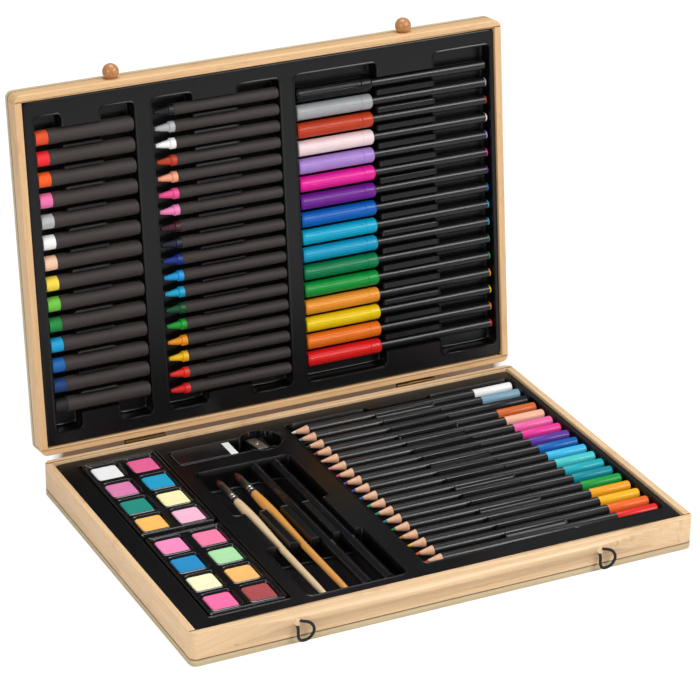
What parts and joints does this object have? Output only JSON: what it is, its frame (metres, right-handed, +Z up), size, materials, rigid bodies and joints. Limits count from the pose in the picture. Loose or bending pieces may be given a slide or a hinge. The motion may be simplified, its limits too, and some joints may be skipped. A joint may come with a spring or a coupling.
{
  "type": "drawing and painting set in a hinged case",
  "caption": "Shallow wooden case with a hinged lid; formed black trays in both halves hold pencils, brushes, paints, pastels, crayons and felt pens.",
  "frame": {"origin": "centre of the bottom face of the base", "axes": "+X to the right along the front, +Y from the front to the hinges, +Z up"},
  "size_m": [0.362, 0.3073, 0.2872],
  "materials": {
    "pale_wood": "clear lacquer, satin",
    "pale_plywood": "clear lacquer, satin",
    "black_tray": "semi-matt, vacuum-formed",
    "hinge_steel": "plated",
    "bead_wood": "turned, lacquered",
    "black_elastic": "woven",
    "black_palette": "gloss",
    "watercolour": "matt cakes in several colours",
    "natural_handle": "gloss lacquer",
    "orange_handle": "gloss lacquer",
    "ferrule_metal": "polished",
    "brush_hair": "fine hair",
    "white_eraser": "matt",
    "black_sleeve": "coated paper",
    "sharpener_black": "satin",
    "blade_steel": "ground",
    "black_pencil": "gloss lacquer",
    "pastel_sticks": "paper wraps with bare coloured ends",
    "crayon_sticks": "wax in paper wraps, several colours",
    "pen_barrel": "gloss",
    "pen_cap": "gloss, several colours"
  },
  "bodies": {
    "base": {"base_panel": "pale_plywood", "base_front_wall": "pale_wood", "base_back_wall": "pale_wood", "base_side_walls": "pale_wood", "base_tray": "black_tray", "base_hinge_leaves": "hinge_steel", "hinge_pins": "hinge_steel", "base_hinge_screws": "hinge_steel", "left_elastic_loop": "black_elastic", "right_elastic_loop": "black_elastic", "loop_knots": "black_elastic"},
    "lid": {"lid_panel": "pale_plywood", "lid_front_wall": "pale_wood", "lid_back_wall": "pale_wood", "lid_side_walls": "pale_wood", "lid_tray": "black_tray", "lid_hinge_leaves": "hinge_steel", "lid_hinge_screws": "hinge_steel", "closing_beads": "bead_wood"},
    "pastel_row": {"pastels": "pastel_sticks"},
    "crayon_row": {"crayons": "crayon_sticks"},
    "pen_row": {"pen_barrels": "pen_barrel", "pen_caps": "pen_cap"},
    "front_palette_body": {"front_palette": "black_palette", "front_paints": "watercolour"},
    "rear_palette_body": {"rear_palette": "black_palette", "rear_paints": "watercolour"},
    "left_brush": {"left_brush_handle": "natural_handle", "left_brush_ferrule": "ferrule_metal", "left_brush_tuft": "brush_hair"},
    "right_brush": {"right_brush_handle": "orange_handle", "right_brush_ferrule": "ferrule_metal", "right_brush_tuft": "brush_hair"},
    "left_sketch_pencil_body": {"left_sketch_pencil": "black_pencil"},
    "right_sketch_pencil_body": {"right_sketch_pencil": "black_pencil"},
    "eraser_body": {"eraser": "white_eraser", "eraser_sleeve": "black_sleeve"},
    "sharpener_body": {"sharpener_block": "sharpener_black", "sharpener_blade": "blade_steel", "sharpener_screw": "blade_steel"},
    "pencil_01_body": {"pencil_01": "black_pencil"},
    "pencil_02_body": {"pencil_02": "black_pencil"},
    "pencil_03_body": {"pencil_03": "black_pencil"},
    "pencil_04_body": {"pencil_04": "black_pencil"},
    "pencil_05_body": {"pencil_05": "black_pencil"},
    "pencil_06_body": {"pencil_06": "black_pencil"},
    "pencil_07_body": {"pencil_07": "black_pencil"},
    "pencil_08_body": {"pencil_08": "black_pencil"},
    "pencil_09_body": {"pencil_09": "black_pencil"},
    "pencil_10_body": {"pencil_10": "black_pencil"},
    "pencil_11_body": {"pencil_11": "black_pencil"},
    "pencil_12_body": {"pencil_12": "black_pencil"},
    "pencil_13_body": {"pencil_13": "black_pencil"},
    "pencil_14_body": {"pencil_14": "black_pencil"},
    "pencil_15_body": {"pencil_15": "black_pencil"},
    "pencil_16_body": {"pencil_16": "black_pencil"},
    "pencil_17_body": {"pencil_17": "black_pencil"},
    "pencil_18_body": {"pencil_18": "black_pencil"}
  },
  "joints": [
    {"name": "lid_hinge", "type": "hinge", "parent": "base", "child": "lid", "pos_m": [0, 0.1289, 0.024], "axis": [-1, 0, 0], "range_deg": [-96.3, 0]},
    {"name": "pastel_row_lift", "type": "slide", "parent": "lid", "child": "pastel_row", "axis": [0, -0.994, 0.1097], "range_m": [0, 0.02]},
    {"name": "crayon_row_lift", "type": "slide", "parent": "lid", "child": "crayon_row", "axis": [0, -0.994, 0.1097], "range_m": [0, 0.02]},
    {"name": "pen_row_lift", "type": "slide", "parent": "lid", "child": "pen_row", "axis": [0, -0.994, 0.1097], "range_m": [0, 0.02]},
    {"name": "front_palette_lift", "type": "slide", "parent": "base", "child": "front_palette_body", "axis": [0, 0, 1], "range_m": [0, 0.02]},
    {"name": "rear_palette_lift", "type": "slide", "parent": "base", "child": "rear_palette_body", "axis": [0, 0, 1], "range_m": [0, 0.02]},
    {"name": "left_brush_lift", "type": "slide", "parent": "base", "child": "left_brush", "axis": [0, 0, 1], "range_m": [0, 0.02]},
    {"name": "right_brush_lift", "type": "slide", "parent": "base", "child": "right_brush", "axis": [0, 0, 1], "range_m": [0, 0.02]},
    {"name": "left_sketch_pencil_lift", "type": "slide", "parent": "base", "child": "left_sketch_pencil_body", "axis": [0, 0, 1], "range_m": [0, 0.02]},
    {"name": "right_sketch_pencil_lift", "type": "slide", "parent": "base", "child": "right_sketch_pencil_body", "axis": [0, 0, 1], "range_m": [0, 0.02]},
    {"name": "eraser_lift", "type": "slide", "parent": "base", "child": "eraser_body", "axis": [0, 0, 1], "range_m": [0, 0.02]},
    {"name": "sharpener_lift", "type": "slide", "parent": "base", "child": "sharpener_body", "axis": [0, 0, 1], "range_m": [0, 0.02]},
    {"name": "pencil_01_lift", "type": "slide", "parent": "base", "child": "pencil_01_body", "axis": [0, 0, 1], "range_m": [0, 0.02]},
    {"name": "pencil_02_lift", "type": "slide", "parent": "base", "child": "pencil_02_body", "axis": [0, 0, 1], "range_m": [0, 0.02]},
    {"name": "pencil_03_lift", "type": "slide", "parent": "base", "child": "pencil_03_body", "axis": [0, 0, 1], "range_m": [0, 0.02]},
    {"name": "pencil_04_lift", "type": "slide", "parent": "base", "child": "pencil_04_body", "axis": [0, 0, 1], "range_m": [0, 0.02]},
    {"name": "pencil_05_lift", "type": "slide", "parent": "base", "child": "pencil_05_body", "axis": [0, 0, 1], "range_m": [0, 0.02]},
    {"name": "pencil_06_lift", "type": "slide", "parent": "base", "child": "pencil_06_body", "axis": [0, 0, 1], "range_m": [0, 0.02]},
    {"name": "pencil_07_lift", "type": "slide", "parent": "base", "child": "pencil_07_body", "axis": [0, 0, 1], "range_m": [0, 0.02]},
    {"name": "pencil_08_lift", "type": "slide", "parent": "base", "child": "pencil_08_body", "axis": [0, 0, 1], "range_m": [0, 0.02]},
    {"name": "pencil_09_lift", "type": "slide", "parent": "base", "child": "pencil_09_body", "axis": [0, 0, 1], "range_m": [0, 0.02]},
    {"name": "pencil_10_lift", "type": "slide", "parent": "base", "child": "pencil_10_body", "axis": [0, 0, 1], "range_m": [0, 0.02]},
    {"name": "pencil_11_lift", "type": "slide", "parent": "base", "child": "pencil_11_body", "axis": [0, 0, 1], "range_m": [0, 0.02]},
    {"name": "pencil_12_lift", "type": "slide", "parent": "base", "child": "pencil_12_body", "axis": [0, 0, 1], "range_m": [0, 0.02]},
    {"name": "pencil_13_lift", "type": "slide", "parent": "base", "child": "pencil_13_body", "axis": [0, 0, 1], "range_m": [0, 0.02]},
    {"name": "pencil_14_lift", "type": "slide", "parent": "base", "child": "pencil_14_body", "axis": [0, 0, 1], "range_m": [0, 0.02]},
    {"name": "pencil_15_lift", "type": "slide", "parent": "base", "child": "pencil_15_body", "axis": [0, 0, 1], "range_m": [0, 0.02]},
    {"name": "pencil_16_lift", "type": "slide", "parent": "base", "child": "pencil_16_body", "axis": [0, 0, 1], "range_m": [0, 0.02]},
    {"name": "pencil_17_lift", "type": "slide", "parent": "base", "child": "pencil_17_body", "axis": [0, 0, 1], "range_m": [0, 0.02]},
    {"name": "pencil_18_lift", "type": "slide", "parent": "base", "child": "pencil_18_body", "axis": [0, 0, 1], "range_m": [0, 0.02]}
  ]
}
